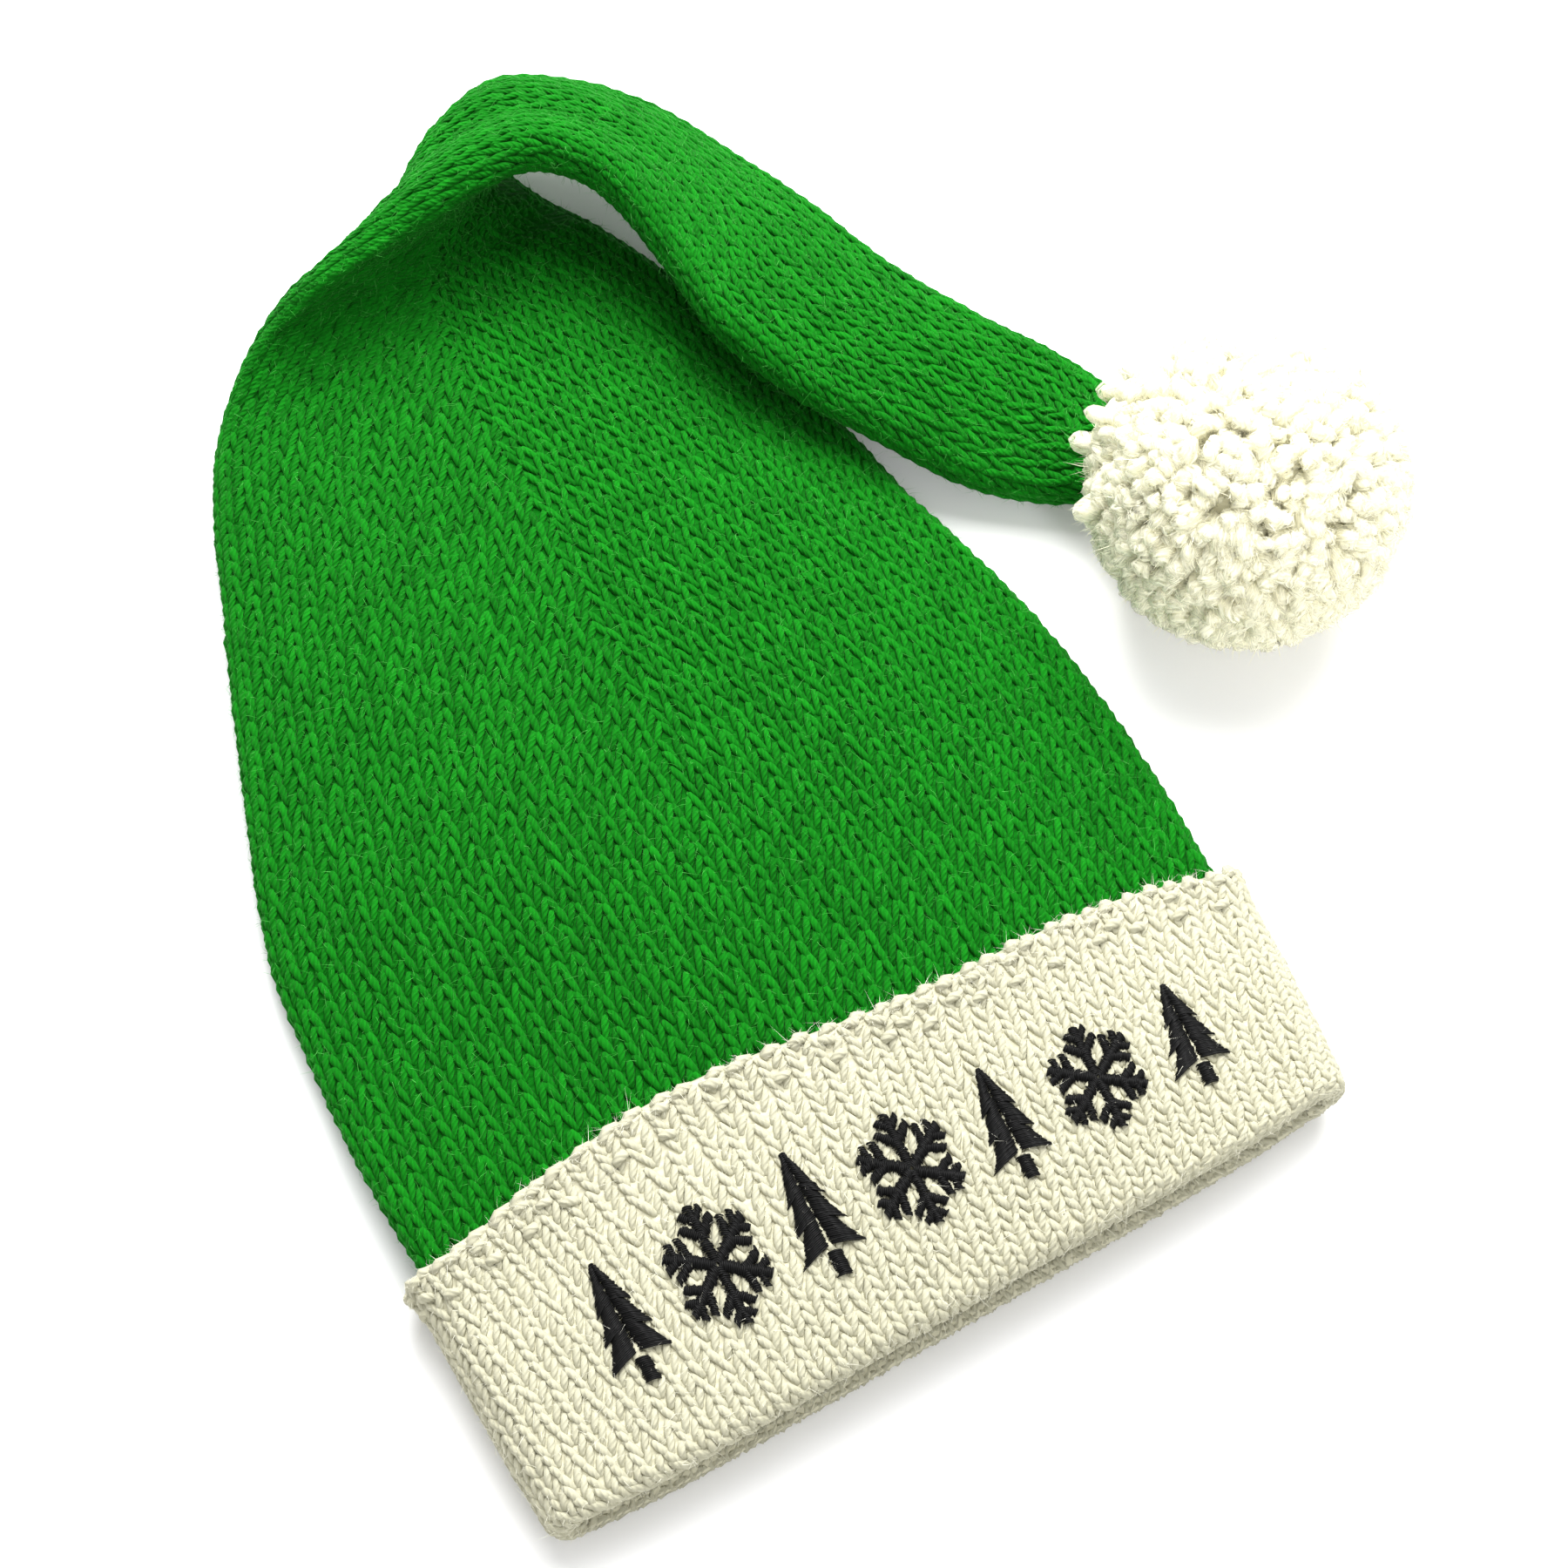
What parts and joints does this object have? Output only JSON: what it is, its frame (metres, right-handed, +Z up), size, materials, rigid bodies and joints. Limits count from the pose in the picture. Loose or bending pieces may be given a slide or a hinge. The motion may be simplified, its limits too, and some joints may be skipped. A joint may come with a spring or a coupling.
{
  "type": "christmas beanie",
  "caption": "Long knitted Christmas hat lying flat, with a turned-up cream cuff, a tapering green crown whose tail folds over to one side, and a yarn pompom at its tip.",
  "frame": {"origin": "middle of the bounding box, on the surface that the hat lies on", "axes": "+Z up from the surface, +Y along the hat from its cuff towards its fold-over, +X to the side where the tail and the pompom lie"},
  "size_m": [0.3256, 0.391, 0.0814],
  "materials": {
    "green_knit": "hand-knitted wool in stocking stitch, slightly hairy, matte",
    "cream_knit": "hand-knitted undyed wool in stocking stitch with a garter rim, matte",
    "cream_yarn": "cut ends of soft wool yarn, matte"
  },
  "bodies": {
    "root": {"crown": "green_knit", "cuff": "cream_knit", "pompom": "cream_yarn"}
  },
  "joints": []
}
